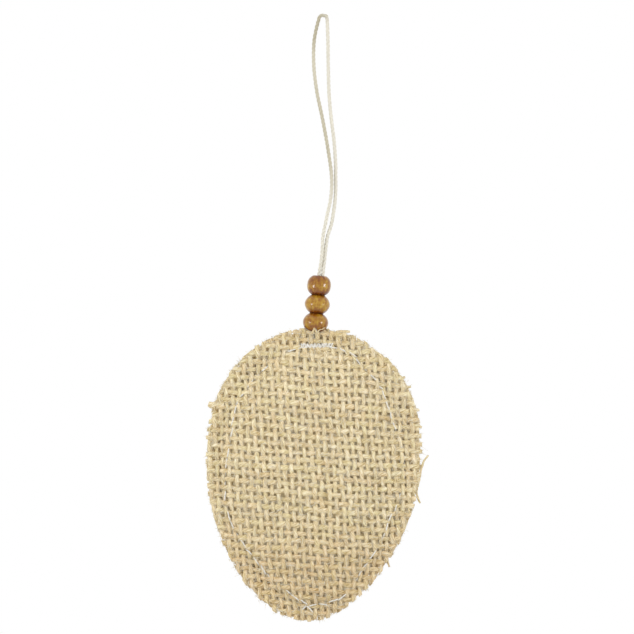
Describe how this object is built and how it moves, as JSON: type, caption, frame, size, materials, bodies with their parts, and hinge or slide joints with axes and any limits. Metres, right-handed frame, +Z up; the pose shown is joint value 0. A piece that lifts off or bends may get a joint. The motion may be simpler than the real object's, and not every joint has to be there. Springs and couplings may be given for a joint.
{
  "type": "hanging egg ornament",
  "caption": "Egg-shaped padded jute ornament with a stitched rim, hung from a doubled cord loop threaded through turned wooden beads.",
  "frame": {"origin": "the point where a hook carries the hanging cord, on the inside of the top of its loop", "axes": "+Z up along the hanging egg, +Y through its thickness towards the back, +X to the right of its front"},
  "size_m": [0.0685, 0.0154, 0.1944],
  "materials": {
    "jute": "matt, coarse plain weave",
    "wadding": "soft polyester wadding",
    "sewing_thread": "spun thread",
    "bead_wood": "stained and varnished",
    "cotton_cord": "twisted, lightly waxed"
  },
  "bodies": {
    "root": {"jute_front": "jute", "jute_back": "jute", "wadding": "wadding", "seam_thread_front": "sewing_thread", "seam_thread_back": "sewing_thread", "bead_bottom": "bead_wood", "bead_middle": "bead_wood", "bead_top": "bead_wood", "hanging_cord": "cotton_cord"}
  },
  "joints": []
}
